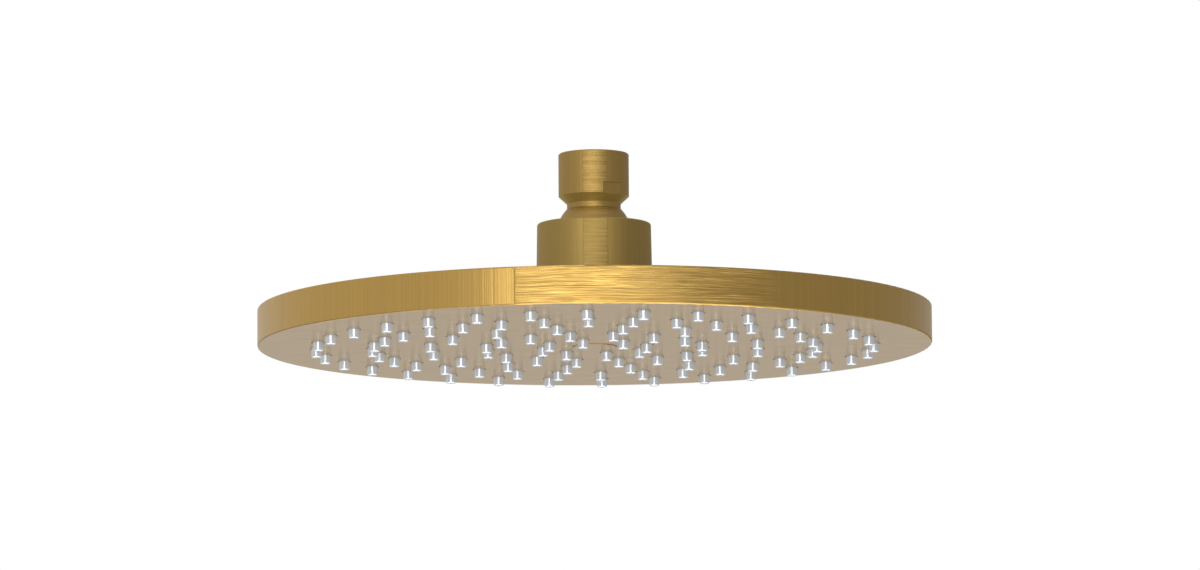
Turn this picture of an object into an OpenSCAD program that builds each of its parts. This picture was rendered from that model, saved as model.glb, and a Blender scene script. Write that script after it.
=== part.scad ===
/* [Spray pan] */
// Diameter over the rim
pan_d = 250; // [210:1:290]
// Height of the rim, from the face to its top edge
pan_h = 13.8; // [13:0.1:20]
// Thickness of the perforated face
face_t = 1.5; // [1:0.1:2]
// Thickness of the rim wall
rim_t = 2; // [1.4:0.1:3]
// Round on the edges of the rim
edge_r = 0.5; // [0.2:0.1:1]

/* [Nozzles] */
// Radius of the innermost ring of nozzles
first_ring_r = 19.75; // [18:0.25:24]
// Distance from one ring of nozzles to the next
ring_pitch = 20.9; // [16:0.1:26]
// Nozzles on the innermost ring
first_ring_n = 8; // [6:1:10]
// Direction of the spoke on which every ring starts
spoke_turn = 33.75; // [0:0.25:45]
// Free width between the outermost ring and the rim wall
edge_free = 14; // [12:1:20]
// Length that a nozzle stands out of the face
nozzle_l = 3.2; // [2:0.1:5]
// Diameter of a nozzle at the face
nozzle_d = 4.35; // [3.6:0.05:5]
// Diameter of a nozzle at its tip
nozzle_tip_d = 3.8; // [2.8:0.05:3.9]
// Diameter of the jet at the tip
jet_d = 1.3; // [0.8:0.1:1.6]
// Gap between a nozzle and its hole in the face
nozzle_gap = 0.45; // [0.2:0.05:0.6]
// Thickness of the silicone mat that carries the nozzles
mat_t = 2; // [1.5:0.1:2.5]

/* [Backing plate] */
// Thickness of the plate that holds the mat down
plate_t = 2; // [1.5:0.1:2.5]
// Diameter of the water hole above each nozzle
plate_hole_d = 3.6; // [3:0.1:5]
// Thread diameter of the plate screws
plate_screw_d = 3; // [2.5:0.5:3.5]
// Wall of the bosses that the plate screws go into
boss_t = 1.7; // [1.4:0.1:2.4]

/* [Top cover] */
// Thickness of the top cover
cover_t = 1.5; // [1.2:0.1:2]
// Thickness of the cover's down-turned skirt
skirt_t = 3.4; // [3:0.1:5]
// Gap between the cover's edge and the rim
cover_gap = 0.15; // [0.1:0.05:0.3]
// Section diameter of the seal round the skirt
rim_seal_d = 2; // [1.6:0.1:2.2]

/* [Centre fixing] */
// Diameter of the centre cap
cap_d = 15.7; // [14.6:0.1:17]
// Gap round the cap in its recess
cap_gap = 0.35; // [0.25:0.05:0.5]
// Height that the cap stands out of the face
cap_rise = 0.25; // [0:0.05:0.5]
// Thickness of the cap's disc
cap_t = 1; // [0.8:0.1:1.2]
// Free height between the cap's disc and the screw's head
cap_room = 0.35; // [0.2:0.05:0.6]
// Wall of the pan's centre boss round the recess
centre_boss_t = 2.3; // [1.5:0.1:3]
// Thread diameter of the centre screw
screw_d = 5; // [4:0.5:6]
// Height of the centre screw's head
screw_head_h = 1.3; // [1:0.1:2]
// Thickness of the washer under the screw's head
screw_seal_t = 0.5; // [0.3:0.1:0.6]
// Section diameter of the ring that grips the cap
cap_seal_d = 1.1; // [0.8:0.1:1.2]

/* [Swivel nut] */
// Wall of the nut at its top, outside the thread
nut_wall = 2.15; // [1.8:0.05:4]
// Growth of the nut's radius from top to foot
nut_flare = 0.55; // [0.2:0.05:1]
// Height of the nut
nut_h = 31.7; // [31:0.1:40]
// Gap between the nut's foot and the top cover
nut_gap = 0.2; // [0.1:0.1:0.5]
// Round on the nut's top edge
nut_edge_r = 0.7; // [0.3:0.1:1.2]
// Thickness of the lip that holds the ball in
lip_t = 1.6; // [1.4:0.1:2]
// Height of the nut's top above the ball's centre
lip_rise = 4.2; // [3.8:0.1:4.8]
// Width of the friction ring round the ball, out to the nut's thread
ring_t = 5; // [4.4:0.1:6]

/* [Ball joint] */
// Diameter of the ball
ball_d = 28; // [26:0.5:29]
// Angle that the head can lean to each side
swing = 15; // [5:1:16]
// Running clearance between the ball and what touches it
ball_gap = 0.05; // [0.03:0.01:0.1]
// Thickness of the seat below the ball
seat_t = 2.35; // [2:0.05:2.6]
// Diameter of the water way below the seat
throat_d = 11; // [8:0.5:12]
// Side and end clearance of the friction ring
ring_gap = 0.1; // [0.05:0.01:0.15]

/* [Inlet stem] */
// Wall of the inlet collar outside the thread's inner wall
collar_t = 3.65; // [3.2:0.05:5]
// Height of the inlet collar
collar_h = 16; // [15.5:0.1:22]
// Height of the cone below the collar
cone_h = 2.85; // [1.5:0.05:5]
// Diameter of the neck above the ball
neck_d = 20; // [19:0.1:20.6]
// Height of the straight neck
neck_h = 1.85; // [1:0.05:4]
// Bevel on the collar's top edge
collar_bevel = 0.4; // [0.2:0.1:0.8]
// Depth of the spanner flats
flat_in = 0.58; // [0.3:0.02:0.8]
// Height of the spanner flats
flat_h = 4; // [3:0.1:6]
// Direction that the first spanner flat faces
flat_turn = 304; // [270:1:359]
// Diameter of the water way through the ball
stem_bore_d = 11; // [8:0.5:12]

/* [Inlet thread] */
// Diameter of the thread's inner wall
thread_d = 18.9; // [18.6:0.05:19.2]
// Length of the threaded wall
thread_l = 11.2; // [10:0.1:11.6]
// Lead-in bevel at the mouth
mouth_bevel = 0.3; // [0.2:0.1:0.5]
// Depth of the relief below the thread, out from the thread's inner wall
relief_in = 1.25; // [1.1:0.05:1.5]
// Thickness of the inlet washer
washer_t = 2; // [1.5:0.1:2.2]
// Diameter of the washer's hole
washer_hole_d = 12; // [11:0.5:13]
// Thickness of the filter screen
screen_t = 0.4; // [0.2:0.1:0.5]
// Distance between the holes of the screen
mesh_pitch = 1.6; // [1.4:0.1:2.4]
// Diameter of the holes of the screen
mesh_d = 1; // [0.6:0.1:1.1]
// Diameter of the pocket for the flow regulator
pocket_d = 15; // [14:0.1:15.4]
// Depth of that pocket
pocket_h = 5.8; // [5:0.1:6]

/* [Hidden] */

GOLD = [0.76, 0.61, 0.36];
RAW_BRASS = [0.80, 0.66, 0.34];
STEEL = [0.72, 0.73, 0.74];
SILICONE = [0.88, 0.89, 0.88];
BLACK_RUBBER = [0.12, 0.12, 0.12];
WHITE_PLASTIC = [0.90, 0.90, 0.87];
GREY_PLASTIC = [0.62, 0.64, 0.66];

// How far a cutting shape runs past what it cuts
CUT = 1;
// Clearance between still pieces that fit in one another
FIT = 0.05;
// How much wider a groove is than the seal in it
GROOVE_ROOM = 0.3;
LARGE = 192;
MEDIUM = 96;
SMALL = 40;
FINE = 24;

// Radii of the ball joint, all about the ball's centre
ball_r = ball_d / 2;
neck_r = neck_d / 2;
lip_gap = 0.15;
seat_in_r = ball_r + ball_gap;
seat_out_r = seat_in_r + seat_t;
bowl_r = seat_out_r + ball_gap;
lip_r = ball_r + lip_gap;
throat_r = throat_d / 2;

// Heights, counted down from the mouth of the inlet
z_ball = -(collar_h + cone_h + neck_h + sqrt(pow(ball_r, 2) - pow(neck_r, 2)));
z_nut_top = z_ball + lip_rise;
z_lip = z_nut_top - lip_t;
z_nut_foot = z_nut_top - nut_h;
z_rim_top = z_nut_foot - nut_gap;
z_cover_in = z_rim_top - cover_t;
z_face = z_rim_top - pan_h;
z_floor = z_face + face_t;
z_mat_top = z_floor + mat_t;
z_plate_top = z_mat_top + plate_t;
z_tip = z_face - nozzle_l;

// Seat: its top clears the friction ring, and its lower edge the throat, at full swing
ring_lip_drop = 0.5;
seat_room = 0.4;
spare_angle = 1;
seat_top_drop = seat_out_r * sin(swing + asin((ring_lip_drop + seat_room) / seat_out_r));
seat_low_angle = acos(throat_r / bowl_r) - swing - spare_angle;
seat_hole_r = seat_out_r * cos(seat_low_angle);

// Friction ring, between the spigot's end and the nut's lip
nut_bore_r = ball_r + ring_t;
nut_top_r = nut_bore_r + nut_wall;
nut_foot_r = nut_top_r + nut_flare;
ring_r = nut_bore_r - ring_gap;
ring_drop = 2.2;
ring_room = 0.5;
ring_room_r = bowl_r + ring_room;
z_ring_foot = z_ball - ring_drop;
z_ring_top = z_lip - ring_gap;
z_spigot_top = z_ring_foot - ring_gap;

// Spigot, from its gasket on the cover down to the pan's centre boss
gasket_t = 1;
flange_t = 3;
flange_room = 0.3;
foot_wall = 1.3;
flange_r = nut_foot_r - foot_wall - flange_room;
tail_r = 10;
tail_bore_r = 7;
web_t = 1.5;
cap_side = 0.5;
cap_end = 0.2;
cap_edge_r = 0.3;
recess_h = cap_t - cap_rise + cap_room + screw_head_h + screw_seal_t;
z_gasket = z_rim_top + gasket_t;
z_flange = z_gasket + flange_t;
z_boss_top = z_face + recess_h + web_t;
lock_washer_t = 0.8;
lock_nut_t = 2.2;
lock_nut_w = 27;
lock_washer_r = lock_nut_w / 2 + 1;
z_lock_washer = z_cover_in - lock_washer_t;
z_lock_nut = z_lock_washer - lock_nut_t;
anchor_t = 1.7;
anchor_wall = 1.2;
anchor_post_r = screw_d / 2 + anchor_wall;
anchor_post_h = 3.6;
z_anchor_top = z_boss_top + anchor_t;
port_n = 3;
port_w = 6;
port_room = 0.1;
port_h = z_lock_nut - z_anchor_top - port_room;

// Pan, mat and plate
pan_r = pan_d / 2;
rim_in_r = pan_r - rim_t;
cover_r = rim_in_r - cover_gap;
skirt_in_r = cover_r - skirt_t;
mat_room = 0.2;
mat_r = rim_in_r - 2 * mat_room;
plate_r = rim_in_r - 2.5 * mat_room;
recess_r = cap_d / 2 + cap_gap;
centre_boss_r = recess_r + centre_boss_t;
mat_hole_r = centre_boss_r + mat_room;
hole_r = nozzle_d / 2 + nozzle_gap;
nozzle_bevel = 0.3;
funnel_flare = 0.7;
jet_l = 2;
ring_count = floor((rim_in_r - edge_free - first_ring_r) / ring_pitch) + 1;

// Every second step outwards doubles the number of nozzles on a ring
function ring_radius(k) = first_ring_r + k * ring_pitch;
function ring_number(k) = first_ring_n * pow(2, ceil(k / 2));
function on_circle(r, n, start) =
    [for (i = [0:n - 1]) let (a = start + i * 360 / n) [r * cos(a), r * sin(a)]];
nozzle_places = [
    for (k = [0:ring_count - 1])
        for (p = on_circle(ring_radius(k), ring_number(k), spoke_turn)) p];

// The plate screws stand half way between two rings, where no nozzle is
boss_r = plate_screw_d / 2 + boss_t;
screw_way = 0.25;
screw_end = 0.2;
boss_skin = 0.7;
z_boss_hole = z_face + boss_skin;
boss_places = [
    for (k = [1:2:ring_count - 2])
        for (p = on_circle(ring_radius(k) + ring_pitch / 2, 4 * ceil(k / 2), spoke_turn)) p];

// Centre screw, its washer and the cap over it
screw_head_r = 0.9 * screw_d;
cap_skirt_in_r = screw_head_r + cap_side;
cap_skirt_top = z_face + recess_h - cap_end;
z_screw_seal = z_face + recess_h - screw_seal_t;
z_screw_head = z_screw_seal - screw_head_h;
cap_seal_r = recess_r - FIT - cap_seal_d / 2;
z_cap_in = z_face - cap_rise + cap_t;
z_cap_seal = (z_cap_in + cap_skirt_top) / 2;

// Inlet stem
thread_r = thread_d / 2;
collar_r = thread_r + collar_t;
relief_r = thread_r + relief_in;
pocket_r = pocket_d / 2;
z_thread_end = -(mouth_bevel + thread_l);
washer_h = washer_t + screen_t;
washer_room = 0.1;
washer_side = 0.2;
z_shoulder = z_thread_end - washer_h - washer_room;
z_pocket = z_shoulder - pocket_h;
washer_r = thread_r - washer_side;
screen_r = thread_r - 2 * washer_side;

// Flow regulator and its ring
regulator_side = 0.15;
regulator_end = 0.1;
regulator_wall = 0.6;
regulator_r = pocket_r - regulator_side;
regulator_h = pocket_h - regulator_end;
regulator_seal_d = 1.6;
regulator_seal_r = pocket_r - FIT - regulator_seal_d / 2;
regulator_port_d = 2.8;
regulator_port_n = 6;

// A disc with a round hole, lying on height z
module flat_ring(out_r, in_r, h, z, fn) {
    translate([0, 0, z])
        difference() {
            cylinder(r = out_r, h = h, $fn = fn);
            translate([0, 0, -CUT]) cylinder(r = in_r, h = h + 2 * CUT, $fn = fn);
        }
}

// A ring of round section, its middle on height z
module round_ring(r, section_d, z, fn) {
    translate([0, 0, z])
        rotate_extrude($fn = fn)
            translate([r, 0]) circle(d = section_d, $fn = FINE);
}

// What has to come off an outer top corner at the origin to leave a round of radius r
module corner(r) {
    translate([-r, -r])
        difference() {
            square(r + CUT);
            circle(r = r, $fn = SMALL);
        }
}

module inlet_stem() {
    color(GOLD)
        difference() {
            union() {
                translate([0, 0, z_ball]) sphere(r = ball_r, $fn = LARGE);
                translate([0, 0, z_ball]) cylinder(r = neck_r, h = -z_ball - CUT, $fn = MEDIUM);
                rotate_extrude($fn = MEDIUM)
                    polygon([
                        [0, -collar_h - cone_h], [neck_r, -collar_h - cone_h],
                        [collar_r, -collar_h], [collar_r, -collar_bevel],
                        [collar_r - collar_bevel, 0], [0, 0]]);
            }
            rotate_extrude($fn = MEDIUM) stem_hollow();
            for (side = [0, 180])
                rotate([0, 0, flat_turn + side])
                    translate([collar_r - flat_in, -collar_r, -collar_h - cone_h])
                        cube([collar_r, 2 * collar_r, cone_h + flat_h]);
        }
}

// Outline of the way through the stem: mouth, thread, relief, pocket, bore and ball end
module stem_hollow() {
    bore_r = stem_bore_d / 2;
    z_end = z_ball - ball_r;
    end_bevel = 0.8;
    z_ball_end = z_ball - sqrt(pow(ball_r, 2) - pow(bore_r + end_bevel, 2));
    polygon([
        [0, CUT], [thread_r + mouth_bevel + CUT, CUT], [thread_r, -mouth_bevel],
        [thread_r, z_thread_end], [relief_r, z_thread_end - (relief_r - thread_r) / 2],
        [relief_r, z_shoulder], [pocket_r, z_shoulder], [pocket_r, z_pocket],
        [bore_r, z_pocket], [bore_r, z_ball_end + end_bevel],
        [bore_r + end_bevel, z_ball_end], [bore_r + end_bevel, z_end], [0, z_end]]);
}

module inlet_washer() {
    color(BLACK_RUBBER)
        flat_ring(washer_r, washer_hole_d / 2, washer_t, z_shoulder + screen_t, MEDIUM);
}

module filter_screen() {
    mesh_edge = 0.2;
    mesh_r = (washer_hole_d - mesh_d) / 2 - mesh_edge;
    rows = ceil(mesh_r / mesh_pitch);
    color(STEEL)
        translate([0, 0, z_shoulder])
            difference() {
                cylinder(r = screen_r, h = screen_t, $fn = MEDIUM);
                for (i = [-rows:rows])
                    for (j = [-rows:rows])
                        if (norm([i, j]) * mesh_pitch < mesh_r)
                            translate([i * mesh_pitch, j * mesh_pitch, -CUT])
                                cylinder(d = mesh_d, h = screen_t + 2 * CUT, $fn = FINE);
            }
}

module flow_regulator() {
    groove_r = regulator_seal_r - regulator_seal_d / 2 - FIT;
    groove_h = regulator_seal_d + GROOVE_ROOM;
    color(WHITE_PLASTIC)
        translate([0, 0, z_pocket])
            difference() {
                cylinder(r = regulator_r, h = regulator_h, $fn = MEDIUM);
                flat_ring(pocket_r + CUT, groove_r, groove_h, (regulator_h - groove_h) / 2, MEDIUM);
                for (p = on_circle(groove_r - regulator_wall - regulator_port_d / 2, regulator_port_n, 0))
                    translate([p[0], p[1], -CUT])
                        cylinder(d = regulator_port_d, h = regulator_h + 2 * CUT, $fn = FINE);
            }
}

module regulator_seal() {
    color(BLACK_RUBBER)
        round_ring(regulator_seal_r, regulator_seal_d, z_pocket + regulator_h / 2, MEDIUM);
}

module ball_seat() {
    seat_h = bowl_r - seat_top_drop;
    color(BLACK_RUBBER)
        translate([0, 0, z_ball])
            difference() {
                sphere(r = seat_out_r, $fn = MEDIUM);
                sphere(r = seat_in_r, $fn = MEDIUM);
                translate([0, 0, -seat_top_drop]) cylinder(r = bowl_r + CUT, h = 2 * bowl_r, $fn = MEDIUM);
                translate([0, 0, -seat_top_drop - seat_h - CUT])
                    cylinder(r = seat_hole_r, h = 2 * bowl_r, $fn = MEDIUM);
            }
}

module friction_ring() {
    color(WHITE_PLASTIC)
        difference() {
            translate([0, 0, z_ring_foot])
                cylinder(r = ring_r, h = z_ring_top - z_ring_foot, $fn = MEDIUM);
            translate([0, 0, z_ball]) sphere(r = seat_in_r, $fn = LARGE);
            translate([0, 0, z_ring_foot - CUT])
                cylinder(r = ring_room_r, h = ring_drop - ring_lip_drop + CUT, $fn = MEDIUM);
        }
}

module swivel_nut() {
    z_room = z_flange + flange_room;
    color(GOLD)
        difference() {
            rotate_extrude($fn = LARGE)
                difference() {
                    polygon([
                        [0, z_nut_foot], [nut_foot_r, z_nut_foot],
                        [nut_top_r, z_nut_top], [0, z_nut_top]]);
                    translate([nut_top_r, z_nut_top]) corner(nut_edge_r);
                }
            translate([0, 0, z_nut_foot - CUT])
                cylinder(r = flange_r + flange_room, h = z_room - z_nut_foot + CUT, $fn = MEDIUM);
            translate([0, 0, z_room - CUT])
                cylinder(r = nut_bore_r, h = z_lip - z_room + CUT, $fn = MEDIUM);
            translate([0, 0, z_ball]) sphere(r = lip_r, $fn = LARGE);
        }
}

module spigot() {
    color(RAW_BRASS)
        difference() {
            union() {
                translate([0, 0, z_boss_top]) cylinder(r = tail_r, h = z_flange - z_boss_top, $fn = MEDIUM);
                translate([0, 0, z_gasket]) cylinder(r = flange_r, h = flange_t, $fn = MEDIUM);
                translate([0, 0, z_gasket])
                    cylinder(r = nut_bore_r - FIT, h = z_spigot_top - z_gasket, $fn = MEDIUM);
            }
            translate([0, 0, z_ball]) sphere(r = bowl_r, $fn = LARGE);
            translate([0, 0, z_boss_top]) cylinder(r = throat_r, h = z_ball - z_boss_top, $fn = MEDIUM);
            translate([0, 0, z_boss_top - CUT])
                cylinder(r = tail_bore_r, h = z_gasket - z_boss_top + CUT, $fn = MEDIUM);
            for (i = [0:port_n - 1])
                rotate([0, 0, i * 180 / port_n])
                    translate([-tail_r - CUT, -port_w / 2, z_anchor_top])
                        cube([2 * (tail_r + CUT), port_w, port_h]);
        }
}

module spigot_gasket() {
    color(BLACK_RUBBER)
        flat_ring(flange_r, tail_r + FIT, gasket_t, z_rim_top, MEDIUM);
}

module top_cover() {
    skirt_h = z_cover_in - z_plate_top;
    groove_w = rim_seal_d + GROOVE_ROOM;
    groove_r = rim_in_r - rim_seal_d - 2 * FIT;
    color(GOLD)
        rotate_extrude($fn = LARGE)
            difference() {
                union() {
                    translate([tail_r + FIT, z_cover_in]) square([cover_r - tail_r - FIT, cover_t]);
                    translate([skirt_in_r, z_plate_top]) square([skirt_t, skirt_h + FIT]);
                }
                translate([groove_r, z_plate_top + (skirt_h - groove_w) / 2])
                    square([rim_seal_d + CUT, groove_w]);
                translate([cover_r, z_rim_top]) corner(edge_r / 2);
            }
}

module lock_washer() {
    color(STEEL)
        flat_ring(lock_washer_r, tail_r + FIT, lock_washer_t, z_lock_washer, MEDIUM);
}

module lock_nut() {
    color(RAW_BRASS)
        translate([0, 0, z_lock_nut])
            difference() {
                cylinder(d = lock_nut_w / cos(30), h = lock_nut_t, $fn = 6);
                translate([0, 0, -CUT])
                    cylinder(r = tail_r + FIT, h = lock_nut_t + 2 * CUT, $fn = MEDIUM);
            }
}

module screw_anchor() {
    color(RAW_BRASS)
        difference() {
            union() {
                translate([0, 0, z_boss_top]) cylinder(r = tail_bore_r - FIT, h = anchor_t, $fn = MEDIUM);
                translate([0, 0, z_boss_top])
                    cylinder(r = anchor_post_r, h = anchor_t + anchor_post_h, $fn = MEDIUM);
            }
            translate([0, 0, z_boss_top - CUT])
                cylinder(r = screw_d / 2 + FIT, h = anchor_t + anchor_post_h, $fn = MEDIUM);
        }
}

module rim_seal() {
    color(BLACK_RUBBER)
        round_ring(rim_in_r - FIT - rim_seal_d / 2, rim_seal_d, (z_plate_top + z_cover_in) / 2, LARGE);
}

module spray_pan() {
    color(GOLD)
        difference() {
            union() {
                rotate_extrude($fn = LARGE)
                    difference() {
                        union() {
                            translate([0, z_face]) square([pan_r, face_t]);
                            translate([rim_in_r, z_face]) square([rim_t, pan_h]);
                            translate([0, z_face]) square([centre_boss_r, recess_h + web_t]);
                        }
                        translate([pan_r, z_rim_top]) corner(edge_r);
                        translate([pan_r, z_face]) mirror([0, 1]) corner(edge_r);
                    }
                for (p = boss_places)
                    translate([p[0], p[1], z_face]) cylinder(r = boss_r, h = z_mat_top - z_face, $fn = SMALL);
            }
            translate([0, 0, z_face - CUT]) cylinder(r = recess_r, h = recess_h + CUT, $fn = MEDIUM);
            translate([0, 0, z_face - CUT])
                cylinder(r = screw_d / 2 + screw_way, h = recess_h + web_t + 2 * CUT, $fn = MEDIUM);
            for (p = nozzle_places)
                translate([p[0], p[1], z_face - CUT]) cylinder(r = hole_r, h = face_t + 2 * CUT, $fn = SMALL);
            for (p = boss_places)
                translate([p[0], p[1], z_boss_hole])
                    cylinder(r = plate_screw_d / 2 + FIT, h = z_mat_top - z_face, $fn = SMALL);
        }
}

// One nozzle, standing out of the underside of the mat
module nozzle() {
    tip_r = nozzle_tip_d / 2;
    taper = (nozzle_d - nozzle_tip_d) / 2 / nozzle_l;
    rotate_extrude($fn = SMALL)
        polygon([
            [0, z_floor + mat_t / 2], [tip_r + taper * (nozzle_l + face_t), z_floor + mat_t / 2],
            [tip_r + taper * (nozzle_l + face_t), z_floor],
            [tip_r, z_tip + nozzle_bevel], [tip_r - nozzle_bevel, z_tip], [0, z_tip]]);
}

// The way for the water through one nozzle: a funnel and a straight jet
module jet() {
    funnel_r = jet_d / 2 + funnel_flare;
    rotate_extrude($fn = FINE)
        polygon([
            [0, z_mat_top + CUT], [funnel_r, z_mat_top + CUT], [funnel_r, z_mat_top],
            [jet_d / 2, z_tip + jet_l], [jet_d / 2, z_tip - CUT], [0, z_tip - CUT]]);
}

module nozzle_mat() {
    color(SILICONE)
        difference() {
            union() {
                flat_ring(mat_r, mat_hole_r, mat_t, z_floor, LARGE);
                for (p = nozzle_places) translate([p[0], p[1], 0]) nozzle();
            }
            for (p = nozzle_places) translate([p[0], p[1], 0]) jet();
            for (p = boss_places)
                translate([p[0], p[1], z_floor - CUT])
                    cylinder(r = boss_r + mat_room, h = mat_t + 2 * CUT, $fn = SMALL);
        }
}

module backing_plate() {
    color(GREY_PLASTIC)
        difference() {
            flat_ring(plate_r, mat_hole_r, plate_t, z_mat_top, LARGE);
            for (p = nozzle_places)
                translate([p[0], p[1], z_mat_top - CUT])
                    cylinder(d = plate_hole_d, h = plate_t + 2 * CUT, $fn = FINE);
            for (p = boss_places)
                translate([p[0], p[1], z_mat_top - CUT])
                    cylinder(r = plate_screw_d / 2 + screw_way, h = plate_t + 2 * CUT, $fn = FINE);
        }
}

module plate_screws() {
    head_r = 0.93 * plate_screw_d;
    head_h = plate_screw_d / 2;
    socket_w = plate_screw_d / 2;
    z_end = z_boss_hole + screw_end;
    for (p = boss_places)
        color(STEEL)
            translate([p[0], p[1], 0])
                difference() {
                    union() {
                        translate([0, 0, z_plate_top]) cylinder(r = head_r, h = head_h, $fn = SMALL);
                        translate([0, 0, z_end])
                            cylinder(d = plate_screw_d, h = z_plate_top + head_h - z_end, $fn = SMALL);
                    }
                    translate([0, 0, z_plate_top + head_h / 2])
                        cylinder(d = socket_w / cos(30), h = head_h, $fn = 6);
                }
}

module centre_screw() {
    socket_w = screw_d * 0.6;
    color(STEEL)
        difference() {
            union() {
                translate([0, 0, z_screw_head])
                    cylinder(r = screw_head_r, h = screw_head_h, $fn = MEDIUM);
                translate([0, 0, z_screw_head])
                    cylinder(d = screw_d, h = z_anchor_top + anchor_post_h - 2 * CUT - z_screw_head, $fn = MEDIUM);
            }
            translate([0, 0, z_screw_head - CUT])
                cylinder(d = socket_w / cos(30), h = screw_head_h / 2 + CUT, $fn = 6);
        }
}

module screw_seal() {
    color(BLACK_RUBBER)
        flat_ring(screw_head_r, screw_d / 2 + FIT, screw_seal_t, z_screw_seal, MEDIUM);
}

module centre_cap() {
    cap_r = cap_d / 2;
    z_cap = z_face - cap_rise;
    groove_r = cap_seal_r - cap_seal_d / 2 - FIT;
    groove_w = cap_seal_d + 2 * FIT;
    color(GOLD)
        rotate_extrude($fn = MEDIUM)
            difference() {
                union() {
                    translate([0, z_cap]) square([cap_r, cap_t]);
                    translate([cap_skirt_in_r, z_cap]) square([cap_r - cap_skirt_in_r, cap_skirt_top - z_cap]);
                }
                translate([groove_r, z_cap_seal - groove_w / 2]) square([cap_r, groove_w]);
                translate([cap_r, z_cap]) mirror([0, 1]) corner(cap_edge_r);
            }
}

module cap_seal() {
    color(BLACK_RUBBER)
        round_ring(cap_seal_r, cap_seal_d, z_cap_seal, MEDIUM);
}

inlet_stem();
inlet_washer();
filter_screen();
flow_regulator();
regulator_seal();
ball_seat();
friction_ring();
swivel_nut();
spigot();
spigot_gasket();
top_cover();
lock_washer();
lock_nut();
screw_anchor();
rim_seal();
spray_pan();
nozzle_mat();
backing_plate();
plate_screws();
centre_screw();
screw_seal();
centre_cap();
cap_seal();
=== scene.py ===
"""The looks of a round overhead shower head: brushed gold, nozzles, inlet thread, light and camera."""
import math

import bmesh
import bpy
from mathutils import Matrix, Vector


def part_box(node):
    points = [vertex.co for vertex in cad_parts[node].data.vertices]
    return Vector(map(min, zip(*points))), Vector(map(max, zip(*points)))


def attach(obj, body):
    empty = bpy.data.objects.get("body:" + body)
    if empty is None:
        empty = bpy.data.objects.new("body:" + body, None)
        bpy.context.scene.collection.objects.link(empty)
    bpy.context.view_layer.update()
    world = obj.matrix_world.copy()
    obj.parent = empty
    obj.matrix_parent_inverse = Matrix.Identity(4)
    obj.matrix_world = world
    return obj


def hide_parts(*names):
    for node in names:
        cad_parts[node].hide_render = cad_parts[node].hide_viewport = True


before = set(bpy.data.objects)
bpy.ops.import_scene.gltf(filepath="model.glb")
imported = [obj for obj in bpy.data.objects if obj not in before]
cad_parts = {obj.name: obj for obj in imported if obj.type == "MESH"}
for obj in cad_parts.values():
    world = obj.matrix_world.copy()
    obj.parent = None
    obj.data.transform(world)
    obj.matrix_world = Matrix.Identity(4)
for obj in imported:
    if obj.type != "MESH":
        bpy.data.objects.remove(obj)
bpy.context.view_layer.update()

MM = 0.001

# The photograph's frame, and where it shows the middle of the spray face
PHOTO_WIDTH, PHOTO_HEIGHT = 1200, 570
FACE_MIDDLE_PX = (594.84, 346.28)
# The camera looks up at the face from a little below, with a slight roll
CAMERA_TURN = math.radians(1.5)
CAMERA_BELOW = math.radians(6.984)
CAMERA_ROLL = math.radians(-0.404)
CAMERA_DISTANCE = 2.6217
FOCAL_PX = 7069.8
SENSOR = 36.0

# The floor, and how bright a mirror sees it under the object and far away
FLOOR_DEPTH = 5.0
FLOOR_SIZE = 80.0
FLOOR_GREY = 0.8
NEAR_GLOW, FAR_GLOW = 1.4, 0.46
FAR_REACH = 5 * FLOOR_DEPTH

# What the metal sees of the world: from its left to its right, in front of it and behind it
FRONT_LEVELS = (0.80, 0.44)
BACK_LEVELS = (0.85, 0.42)
BACK_FROM, BACK_TO = 0.3, 0.95

# Each lamp's place, size and power. All point at the middle of the head
LAMP_TARGET = (0, 0, -0.04)
LAMPS = {
    "front_box": ((-0.11, -1.8, 0.05), (1.25, 1.1), 15),
    "under_box": ((0, -0.3, -1.8), (2.6, 1.8), 34),
    "top_box": ((0, -0.2, 1.8), (1.6, 1.6), 5),
}

# The inlet's pipe thread: from the mouth down, the plain wall's radius, and the cut into it
THREAD_TOP, THREAD_END = 0.3 * MM, 11.5 * MM
THREAD_R = 9.45 * MM
THREAD_DEPTH = 1.0 * MM
THREAD_PITCH = 1.814 * MM
THREAD_ROWS = 12
THREAD_STEPS = 96
# How steeply a groove's sides fall: its full depth over this part of the pitch
THREAD_SIDE = 0.4
WALL_SLACK = 0.02 * MM
END_SLACK = 0.01 * MM

# Colours as linear values
GOLD = (0.50, 0.315, 0.090, 1)
TURNED_GOLD = (0.38, 0.250, 0.078, 1)
NUT_GOLD = (0.375, 0.262, 0.085, 1)
# Painted light: a paler gold painted on the stem's downward-facing underside
PAINTED_LIGHT_UNDERSIDE_GOLD = (0.62, 0.54, 0.24, 1)
RAW_BRASS = (0.60, 0.40, 0.13, 1)
STEEL = (0.42, 0.43, 0.44, 1)
SILICONE = (0.555, 0.605, 0.675, 1)
BLACK_RUBBER = (0.016, 0.016, 0.017, 1)
WHITE_PLASTIC = (0.74, 0.74, 0.70, 1)
GREY_PLASTIC = (0.30, 0.32, 0.34, 1)
FACE_TINT = (1.0, 0.99, 0.97, 1)

# Where brush lines lie level: from and to this sideways part of the normal, and the fade on the right
RIM_ZONE = (-0.201, 0.50, 0.12)
NUT_ZONE = (-0.16, 0.265, 0.01)
STEM_ZONE = (-0.281, 0.41, 0.03)
ZONE_EDGE = 0.004
# The noises' scales, a metre. A level line also goes up and down, by this much
LEVEL_SCALE = 2500
UPRIGHT_SCALE = (2200, 2200, 8)
GRAIN_SCALE = (90, 1500, 400)
WANDER_SCALE = (40, 40, 40)
WANDER = 1.2 * MM
# How far a level line goes, and the depths of level and upright lines: on most pieces, on the pan
GOLD_LINES = (20 * MM, 0.12 * MM, 0.02 * MM)
PAN_LINES = (30 * MM, 0.32 * MM, 0.07 * MM)
# How far the lines' tone swings to each side
GOLD_STREAK, PAN_STREAK = 0.16, 0.20
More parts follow.
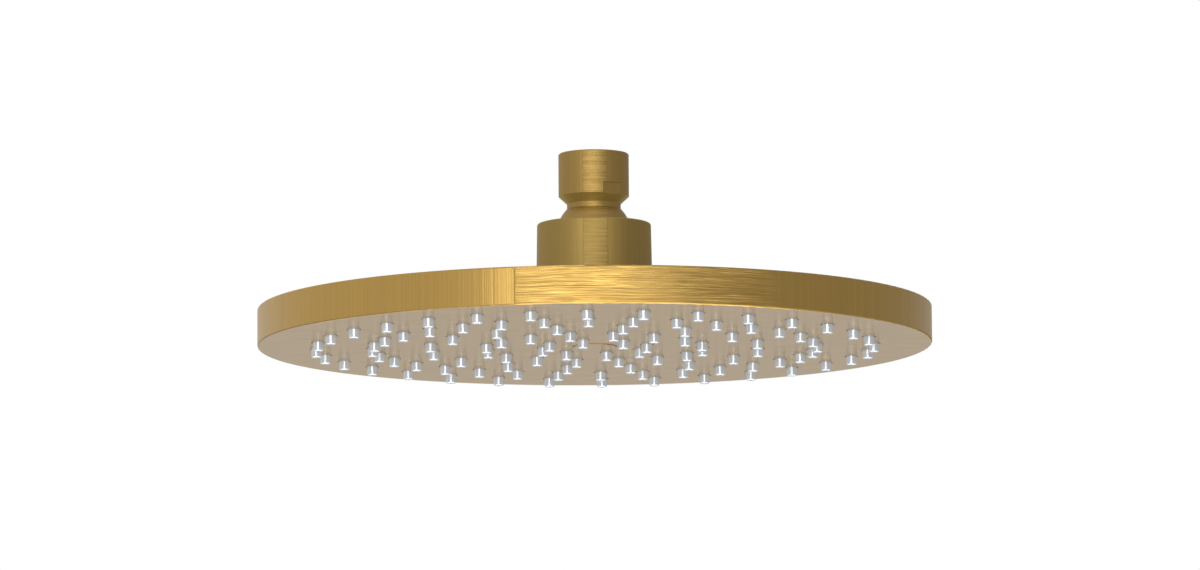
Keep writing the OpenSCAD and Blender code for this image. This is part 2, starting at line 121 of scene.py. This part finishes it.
# A surface is flat where its normal is this upright, with grain in place of lines
FLAT_FROM, FLAT_TO = 0.8, 0.97
GRAIN_DEPTH = 0.006 * MM
# Painted light, a paler gold, goes on an underside whose normal points down by this much
PAINTED_LIGHT_FROM, PAINTED_LIGHT_TO = -0.5, -0.2

# The spray pan: how rough its rim and face are, and how far the face's gloss is drawn out
RIM_ROUGHNESS, FACE_ROUGHNESS = 0.34, 0.16
FACE_STRETCH = 0.85
# The nozzle holes lie this far outside the cap's edge and inside the rim's
CAP_MARGIN, RIM_MARGIN = 4 * MM, 8 * MM
# Painted shade: the holes' walls and the shaded edges are drawn at these shares of the gold
PAINTED_HOLE_SHADE, PAINTED_EDGE_SHADE = 0.03, 0.5
# Painted shade goes on edges whose normal points down between these
EDGE_FROM, EDGE_TO = -0.35, -0.15

# The silicone, and how deep in a hole its painted shade fades in
CLOUD_SCALE = 500
HOLE_FADE = 0.3 * MM
SILICONE_PAINTED_HOLE_SHADE = 0.05
SILICONE_METALLIC, SILICONE_ROUGHNESS = 0.35, 0.15

PLAIN_GRAIN_SCALE = 900
PLAIN_GRAIN_DEPTH = 0.03 * MM


class Nodes:
    """A short way to write a node tree."""

    def __init__(self, tree):
        self.tree = tree

    def add(self, kind, **values):
        node = self.tree.nodes.new(kind)
        for name, value in values.items():
            setattr(node, name, value)
        return node

    def link(self, output, target):
        self.tree.links.new(output, target)

    def put(self, target, value):
        """Sets an input to a number, or links it to another node's output."""
        if isinstance(value, bpy.types.NodeSocket):
            self.link(value, target)
        else:
            target.default_value = value

    def place(self):
        """The point on the piece, in metres from the mouth's middle."""
        return self.add("ShaderNodeTexCoord").outputs["Object"]

    def facing(self, axis):
        """How far the piece's surface faces along an axis, from -1 to 1."""
        return self.part(self.add("ShaderNodeTexCoord").outputs["Normal"], axis)

    def math(self, operation, a, b=0.0):
        node = self.add("ShaderNodeMath", operation=operation)
        self.put(node.inputs[0], a)
        self.put(node.inputs[1], b)
        return node.outputs[0]

    def times(self, a, b):
        return self.math("MULTIPLY", a, b)

    def opposite(self, share):
        return self.math("SUBTRACT", 1.0, share)

    def ramp(self, value, low, high, to_low=0.0, to_high=1.0):
        """Maps low..high to to_low..to_high, smoothly, and holds the ends."""
        node = self.add("ShaderNodeMapRange", interpolation_type="SMOOTHSTEP")
        for target, number in zip(node.inputs, (value, low, high, to_low, to_high)):
            self.put(target, number)
        return node.outputs[0]

    def noise(self, vector, scale, detail, roughness=0.55):
        node = self.add("ShaderNodeTexNoise")
        self.link(vector, node.inputs["Vector"])
        node.inputs["Scale"].default_value = scale
        node.inputs["Detail"].default_value = detail
        node.inputs["Roughness"].default_value = roughness
        return node.outputs["Fac"]

    def stretched(self, vector, scale):
        node = self.add("ShaderNodeVectorMath", operation="MULTIPLY")
        self.link(vector, node.inputs[0])
        node.inputs[1].default_value = scale
        return node.outputs[0]

    def moved(self, vector, step):
        node = self.add("ShaderNodeVectorMath", operation="ADD")
        self.link(vector, node.inputs[0])
        self.link(step, node.inputs[1])
        return node.outputs[0]

    def length(self, vector):
        node = self.add("ShaderNodeVectorMath", operation="LENGTH")
        self.link(vector, node.inputs[0])
        return node.outputs["Value"]

    def part(self, vector, axis):
        node = self.add("ShaderNodeSeparateXYZ")
        self.link(vector, node.inputs[0])
        return node.outputs[axis]

    def joined(self, x=0.0, y=0.0, z=0.0):
        node = self.add("ShaderNodeCombineXYZ")
        for target, value in zip(node.inputs, (x, y, z)):
            self.put(target, value)
        return node.outputs[0]

    def mix(self, share, a, b, kind="FLOAT"):
        node = self.add("ShaderNodeMix", data_type=kind)
        self.put(node.inputs["Factor"], share)
        self.put(node.inputs["A"], a)
        self.put(node.inputs["B"], b)
        return node.outputs["Result"]

    def mix_colour(self, share, a, b):
        return self.mix(share, a, b, "RGBA")

    def bump(self, height, distance=1.0):
        """The normal over a surface that rises by this height, times distance, in metres."""
        node = self.add("ShaderNodeBump")
        node.inputs["Strength"].default_value = 1.0
        node.inputs["Distance"].default_value = distance
        self.link(height, node.inputs["Height"])
        return node.outputs["Normal"]


def new_material(name):
    """An empty material with its shader: (material, nodes, principled shader)."""
    material = bpy.data.materials.new(name)
    material.use_nodes = True
    nodes = Nodes(material.node_tree)
    return material, nodes, material.node_tree.nodes["Principled BSDF"]


def shade(colour, share):
    return tuple(c * share for c in colour[:3]) + (1,)


def brush_lines(n, zone, run):
    """From 0 to 1 each: (share of level lines, level lines, upright lines, grain of flat faces).

    zone holds the sideways parts of the normal between which the lines are level and the
    width of its right-hand fade. run is how far a level line goes, in metres.
    """
    place = n.place()
    sideways = n.facing("X")
    left, right, fade = zone
    inside = n.times(
        n.ramp(sideways, left - ZONE_EDGE, left + ZONE_EDGE),
        n.ramp(sideways, right - fade, right + fade, 1.0, 0.0))
    wander = n.noise(n.stretched(place, WANDER_SCALE), 1.0, 2.0)
    waved = n.moved(place, n.stretched(n.joined(z=wander), (1, 1, WANDER)))
    level = n.noise(n.stretched(waved, (1 / run, 1 / run, LEVEL_SCALE)), 1.0, 2.0, 0.6)
    upright = n.noise(n.stretched(place, UPRIGHT_SCALE), 1.0, 1.0, 0.5)
    grain = n.noise(n.stretched(place, GRAIN_SCALE), 1.0, 2.0, 0.6)
    return inside, level, upright, grain


def gold_lines(n, zone, run, level_depth, upright_depth):
    """Brush lines of gold: (share of level lines, tone from 0 to 1, height in metres)."""
    inside, level, upright, grain = brush_lines(n, zone, run)
    flat = n.ramp(n.math("ABSOLUTE", n.facing("Z")), FLAT_FROM, FLAT_TO)
    height = n.mix(inside, n.times(upright, upright_depth), n.times(level, level_depth))
    height = n.mix(flat, height, n.times(grain, GRAIN_DEPTH))
    tone = n.mix(inside, n.ramp(upright, 0.2, 0.8, 0.35, 0.65), n.ramp(level, 0.35, 0.65))
    tone = n.mix(flat, tone, n.ramp(grain, 0.3, 0.7))
    return inside, tone, height


def brushed_gold(name, colour, zone, roughness, below=None):
    """Brushed gold, its lines level at the front and upright beside it. below is painted light: a paler
    colour on undercuts.
    """
    material, n, shader = new_material(name)
    tone, height = gold_lines(n, zone, *GOLD_LINES)[1:]
    gold = n.mix_colour(tone, shade(colour, 1 - GOLD_STREAK), shade(colour, 1 + GOLD_STREAK))
    if below:
        # Painted light: the downward-facing underside takes the paler below colour
        painted_light_underside = n.ramp(n.facing("Z"), PAINTED_LIGHT_FROM, PAINTED_LIGHT_TO, 1.0, 0.0)
        gold = n.mix_colour(painted_light_underside, gold, below)
    n.link(gold, shader.inputs["Base Color"])
    shader.inputs["Metallic"].default_value = 1.0
    shader.inputs["Roughness"].default_value = roughness
    n.link(n.bump(height), shader.inputs["Normal"])
    return material


def face_gold(name):
    """The rim and the spray face. The face is smoother. Painted shade darkens its nozzle holes' walls,
    the cap's edge and the rim's lower edge beside the front.
    """
    material, n, shader = new_material(name)
    inside, tone, height = gold_lines(n, RIM_ZONE, *PAN_LINES)
    upward = n.facing("Z")
    down = n.ramp(upward, -FLAT_TO, -FLAT_FROM, 1.0, 0.0)
    not_down = n.opposite(down)
    from_middle = n.length(n.stretched(n.place(), (1, 1, 0)))
    outside_cap = n.math("GREATER_THAN", from_middle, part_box("centre_cap")[1].x + CAP_MARGIN)
    inside_rim = n.math("LESS_THAN", from_middle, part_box("spray_pan")[1].x - RIM_MARGIN)
    hole = n.times(n.times(outside_cap, inside_rim), not_down)
    # Painted shade darkens the rim's lower edge beside the front and the cap's edge all round, so the
    # rim's lower edge catches the light at the front only
    beside = n.times(n.opposite(inside), n.opposite(inside_rim))
    edge_shade_zone = n.math("MAXIMUM", beside, n.opposite(outside_cap))
    edge = n.times(n.times(edge_shade_zone, not_down), n.ramp(upward, EDGE_FROM, EDGE_TO, 1.0, 0.0))
    gold = n.mix_colour(tone, shade(GOLD, 1 - PAN_STREAK), shade(GOLD, 1 + PAN_STREAK))
    # Painted shade on the edges
    gold = n.mix_colour(edge, gold, shade(GOLD, PAINTED_EDGE_SHADE))
    # Painted shade on the nozzle holes' walls
    n.link(n.mix_colour(hole, gold, shade(GOLD, PAINTED_HOLE_SHADE)), shader.inputs["Base Color"])
    shader.inputs["Metallic"].default_value = 1.0
    n.link(n.mix(down, RIM_ROUGHNESS, FACE_ROUGHNESS), shader.inputs["Roughness"])
    n.link(n.mix(down, 0.0, FACE_STRETCH), shader.inputs["Anisotropic"])
    n.link(n.joined(y=1.0), shader.inputs["Tangent"])
    shader.inputs["Specular Tint"].default_value = FACE_TINT
    n.link(n.bump(height), shader.inputs["Normal"])
    return material


def plain(name, colour, roughness, metallic=0.0):
    """A plain finish with fine grain in its colour and its surface."""
    material, n, shader = new_material(name)
    grain = n.noise(n.place(), PLAIN_GRAIN_SCALE, 3.0)
    n.link(n.mix_colour(grain, shade(colour, 0.9), shade(colour, 1.1)), shader.inputs["Base Color"])
    shader.inputs["Metallic"].default_value = metallic
    shader.inputs["Roughness"].default_value = roughness
    n.link(n.bump(grain, PLAIN_GRAIN_DEPTH), shader.inputs["Normal"])
    return material


def silicone(name):
    """Glossy, slightly blue white, with painted shade on the part inside the pan's holes."""
    material, n, shader = new_material(name)
    cloud = n.noise(n.place(), CLOUD_SCALE, 2.0)
    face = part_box("spray_pan")[0].z
    in_hole = n.ramp(n.part(n.place(), "Z"), face, face + HOLE_FADE)
    bright = n.mix_colour(cloud, shade(SILICONE, 0.94), shade(SILICONE, 1.05))
    # Painted shade on the silicone above the face, inside the holes
    dark = shade(SILICONE, SILICONE_PAINTED_HOLE_SHADE)
    n.link(n.mix_colour(in_hole, bright, dark), shader.inputs["Base Color"])
    shader.inputs["Metallic"].default_value = SILICONE_METALLIC
    shader.inputs["Roughness"].default_value = SILICONE_ROUGHNESS
    return material


def make_materials():
    """Gives every CAD node its finish."""
    finishes = {
        face_gold("gold_face"): ["spray_pan", "centre_cap"],
        brushed_gold("gold_cover", GOLD, RIM_ZONE, roughness=0.33): ["top_cover"],
        # The stem's underside gets painted light
        brushed_gold("gold_stem", TURNED_GOLD, STEM_ZONE, roughness=0.52, below=PAINTED_LIGHT_UNDERSIDE_GOLD): [
            "inlet_stem"],
        brushed_gold("gold_nut", NUT_GOLD, NUT_ZONE, roughness=0.58): ["swivel_nut"],
        plain("raw_brass", RAW_BRASS, roughness=0.35, metallic=1.0): [
            "spigot", "lock_nut", "screw_anchor"],
        plain("steel", STEEL, roughness=0.3, metallic=1.0): [
            "filter_screen", "lock_washer", "plate_screws", "centre_screw"],
        plain("black_rubber", BLACK_RUBBER, roughness=0.6): [
            "inlet_washer", "regulator_seal", "ball_seat", "spigot_gasket",
            "rim_seal", "screw_seal", "cap_seal"],
        plain("white_plastic", WHITE_PLASTIC, roughness=0.45): ["flow_regulator", "friction_ring"],
        plain("grey_plastic", GREY_PLASTIC, roughness=0.5): ["backing_plate"],
        silicone("silicone"): ["nozzle_mat"],
    }
    for material, names in finishes.items():
        for name in names:
            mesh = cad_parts[name].data
            mesh.materials.clear()
            mesh.materials.append(material)


def threaded_stem():
    """The inlet stem with the thread cut into its bore, in place of the plain stem."""
    plain_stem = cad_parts["inlet_stem"]
    mesh = plain_stem.data.copy()
    work = bmesh.new()
    work.from_mesh(mesh)
    top, bottom = -THREAD_TOP, -THREAD_END

    def on_wall(v):
        on_bore = abs(math.hypot(v.co.x, v.co.y) - THREAD_R) < WALL_SLACK
        return on_bore and bottom - END_SLACK < v.co.z < top + END_SLACK

    wall = [face for face in work.faces if all(on_wall(v) for v in face.verts)]
    bmesh.ops.delete(work, geom=wall, context="FACES")
    rows = round((top - bottom) / THREAD_PITCH * THREAD_ROWS)
    grid = []
    for row in range(rows + 1):
        z = top + (bottom - top) * row / rows
        fade = min(1.0, (top - z) / THREAD_PITCH, (z - bottom) / THREAD_PITCH)
        ring = []
        for step in range(THREAD_STEPS):
            angle = 2 * math.pi * step / THREAD_STEPS
            turn = (z / THREAD_PITCH + step / THREAD_STEPS) % 1.0
            groove = min(1.0, (0.5 - abs(turn - 0.5)) / THREAD_SIDE)
            r = THREAD_R + fade * groove * THREAD_DEPTH
            ring.append(work.verts.new((r * math.cos(angle), r * math.sin(angle), z)))
        grid.append(ring)
    for upper, lower in zip(grid, grid[1:]):
        for i in range(THREAD_STEPS):
            j = (i + 1) % THREAD_STEPS
            work.faces.new((upper[i], upper[j], lower[j], lower[i]))
    work.to_mesh(mesh)
    work.free()
    stem = bpy.data.objects.new("threaded_stem", mesh)
    bpy.context.collection.objects.link(stem)
    stem.matrix_world = plain_stem.matrix_world
    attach(stem, "inlet")
    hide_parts("inlet_stem")


def make_camera():
    """Places the camera so that the middle of the face falls on its pixel of the photograph."""
    data = bpy.data.cameras.new("camera")
    data.sensor_width = SENSOR
    data.lens = FOCAL_PX / PHOTO_WIDTH * SENSOR
    data.clip_start, data.clip_end = 0.05, 200.0
    camera = bpy.data.objects.new("camera", data)
    bpy.context.collection.objects.link(camera)
    bpy.context.scene.camera = camera
    face = Vector((0, 0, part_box("spray_pan")[0].z))
    back = Vector((
        math.sin(CAMERA_TURN) * math.cos(CAMERA_BELOW),
        -math.cos(CAMERA_TURN) * math.cos(CAMERA_BELOW),
        -math.sin(CAMERA_BELOW)))
    look = (-back).to_track_quat("-Z", "Y").to_matrix()
    look = look @ Matrix.Rotation(CAMERA_ROLL, 3, "Z")
    # The face's middle lies beside the picture's middle by these angles
    aside = math.atan((FACE_MIDDLE_PX[0] - PHOTO_WIDTH / 2) / FOCAL_PX)
    under = math.atan((FACE_MIDDLE_PX[1] - PHOTO_HEIGHT / 2) / FOCAL_PX)
    look = look @ Matrix.Rotation(under, 3, "X") @ Matrix.Rotation(aside, 3, "Y")
    camera.location = face + back * CAMERA_DISTANCE
    camera.rotation_mode = "QUATERNION"
    camera.rotation_quaternion = look.to_quaternion()


def make_lamps():
    for name, (place, size, power) in LAMPS.items():
        data = bpy.data.lights.new(name, "AREA")
        data.shape = "RECTANGLE"
        data.size, data.size_y = size
        data.energy = power
        lamp = bpy.data.objects.new(name, data)
        lamp.location = place
        lamp.rotation_mode = "QUATERNION"
        lamp.rotation_quaternion = (Vector(LAMP_TARGET) - Vector(place)).to_track_quat("-Z", "Y")
        lamp.visible_camera = False
        bpy.context.collection.objects.link(lamp)


def make_world():
    """White for what the camera sees. What the metal sees is brighter to the left than to the right."""
    world = bpy.data.worlds.new("studio")
    bpy.context.scene.world = world
    world.use_nodes = True
    n = Nodes(world.node_tree)
    background = world.node_tree.nodes["Background"]
    direction = n.add("ShaderNodeTexCoord").outputs["Generated"]
    sideways, away = n.part(direction, "X"), n.part(direction, "Y")
    front = n.ramp(sideways, -1.0, 1.0, *FRONT_LEVELS)
    back = n.ramp(sideways, -1.0, 1.0, *BACK_LEVELS)
    level = n.mix(n.ramp(away, BACK_FROM, BACK_TO), front, back)
    camera_ray = n.add("ShaderNodeLightPath").outputs["Is Camera Ray"]
    n.link(n.mix(camera_ray, level, 1.0), background.inputs["Strength"])
    background.inputs["Color"].default_value = (1, 1, 1, 1)


def make_floor():
    """A pale floor that takes shadow, white to the camera and glowing to what mirrors it."""
    mesh = bpy.data.meshes.new("floor")
    half = FLOOR_SIZE / 2
    corners = [(-half, -half), (half, -half), (half, half), (-half, half)]
    mesh.from_pydata([(x, y, -FLOOR_DEPTH) for x, y in corners], [], [(0, 1, 2, 3)])
    floor = bpy.data.objects.new("floor", mesh)
    bpy.context.collection.objects.link(floor)
    material, n, shader = new_material("floor")
    shader.inputs["Base Color"].default_value = (FLOOR_GREY, FLOOR_GREY, FLOOR_GREY, 1)
    shader.inputs["Roughness"].default_value = 1.0
    glowing = n.add("ShaderNodeEmission")
    rays = n.add("ShaderNodeLightPath").outputs
    glow = n.ramp(n.length(n.place()), FLOOR_DEPTH, FAR_REACH, NEAR_GLOW, FAR_GLOW)
    n.link(n.mix(rays["Is Camera Ray"], glow, 1.0), glowing.inputs["Strength"])
    mixed = n.add("ShaderNodeMixShader")
    n.link(n.math("MAXIMUM", rays["Is Camera Ray"], rays["Is Glossy Ray"]), mixed.inputs[0])
    n.link(shader.outputs[0], mixed.inputs[1])
    n.link(glowing.outputs[0], mixed.inputs[2])
    n.link(mixed.outputs[0], material.node_tree.nodes["Material Output"].inputs["Surface"])
    mesh.materials.append(material)


make_materials()
threaded_stem()
make_camera()
make_lamps()
make_world()
make_floor()
bpy.context.scene.view_settings.view_transform = "Standard"
